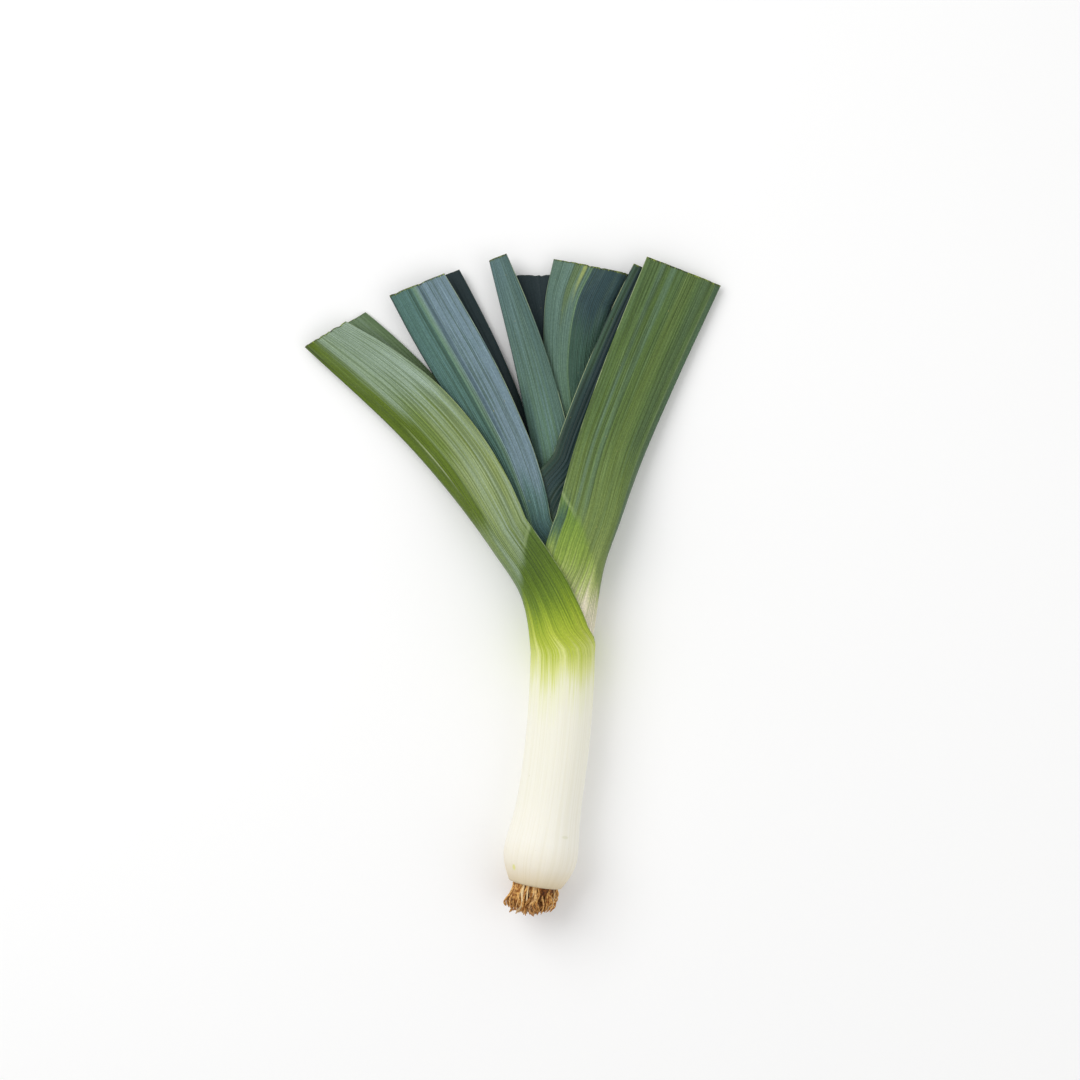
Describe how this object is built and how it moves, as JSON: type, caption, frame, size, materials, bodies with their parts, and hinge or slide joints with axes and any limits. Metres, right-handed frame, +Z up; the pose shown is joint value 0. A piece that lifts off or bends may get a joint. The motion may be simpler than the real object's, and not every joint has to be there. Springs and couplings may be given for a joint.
{
  "type": "leek",
  "caption": "Trimmed leek lying flat: long pale shaft with a soft bulb and a short root tuft, nested leaf sheaths, and folded strap leaves fanned out and cut off at the tip.",
  "frame": {"origin": "on the table under the middle of the leek's bounding box", "axes": "+Y from the roots to the cut leaf tips, +X across the fan of leaves, +Z up from the table"},
  "size_m": [0.2434, 0.3846, 0.0419],
  "materials": {
    "leaf_outer": "satin",
    "leaf_inner": "satin",
    "root": "matte"
  },
  "bodies": {
    "root": {"leaf_1_outer_left": "leaf_outer", "leaf_2_outer_right": "leaf_outer", "leaf_3_left": "leaf_inner", "leaf_4_right": "leaf_inner", "leaf_5_left": "leaf_inner", "leaf_6_ridged": "leaf_inner", "leaf_7_heart": "leaf_inner", "basal_plate": "root", "root_01": "root", "root_02": "root", "root_03": "root", "root_04": "root", "root_05": "root", "root_06": "root", "root_07": "root", "root_08": "root", "root_09": "root", "root_10": "root", "root_11": "root", "root_12": "root", "root_13": "root", "root_14": "root", "root_15": "root", "root_16": "root", "root_17": "root", "root_18": "root", "root_19": "root", "root_20": "root", "root_21": "root", "root_22": "root", "root_23": "root", "root_24": "root", "root_25": "root", "root_26": "root", "root_27": "root", "root_28": "root", "root_29": "root", "root_30": "root", "root_31": "root", "root_32": "root", "root_33": "root", "root_34": "root", "root_35": "root", "root_36": "root", "root_37": "root"}
  },
  "joints": []
}
